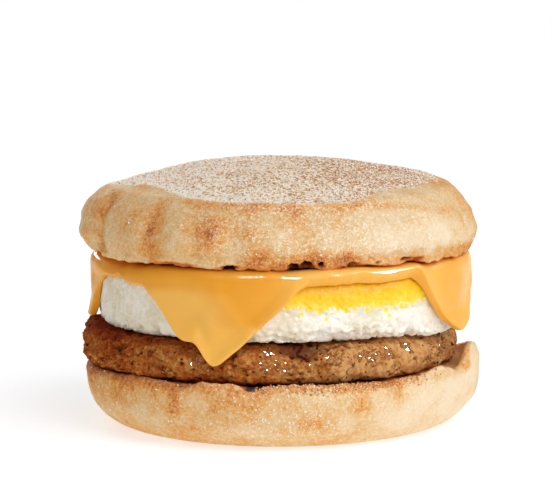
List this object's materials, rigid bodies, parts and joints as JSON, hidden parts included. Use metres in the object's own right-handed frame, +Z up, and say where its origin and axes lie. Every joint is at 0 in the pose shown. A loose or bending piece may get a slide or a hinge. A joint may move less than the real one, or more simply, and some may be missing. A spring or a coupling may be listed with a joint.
{
  "type": "breakfast sandwich",
  "caption": "Toasted English muffin split round a pork sausage patty, a ring-cooked egg and a melted cheese slice whose corners hang down the side.",
  "frame": {"origin": "on the surface the sandwich rests on, under the middle of its plan", "axes": "+Z up through the stack, -Y towards the viewer, who sees the lowest cheese corner a little left of the middle, +X to the viewer's right"},
  "size_m": [0.0972, 0.0968, 0.0644],
  "materials": {
    "toasted_muffin": "matt, floury toasted crust",
    "pork_sausage": "coarse browned meat with an oily sheen",
    "egg_white": "soft satin, finely pitted",
    "egg_yolk": "satin, set firm",
    "melted_cheese": "glossy, just melted"
  },
  "bodies": {
    "root": {"muffin_heel": "toasted_muffin", "sausage_patty": "pork_sausage", "egg_white": "egg_white", "egg_yolk": "egg_yolk", "cheese_slice": "melted_cheese", "muffin_crown": "toasted_muffin"}
  },
  "joints": []
}
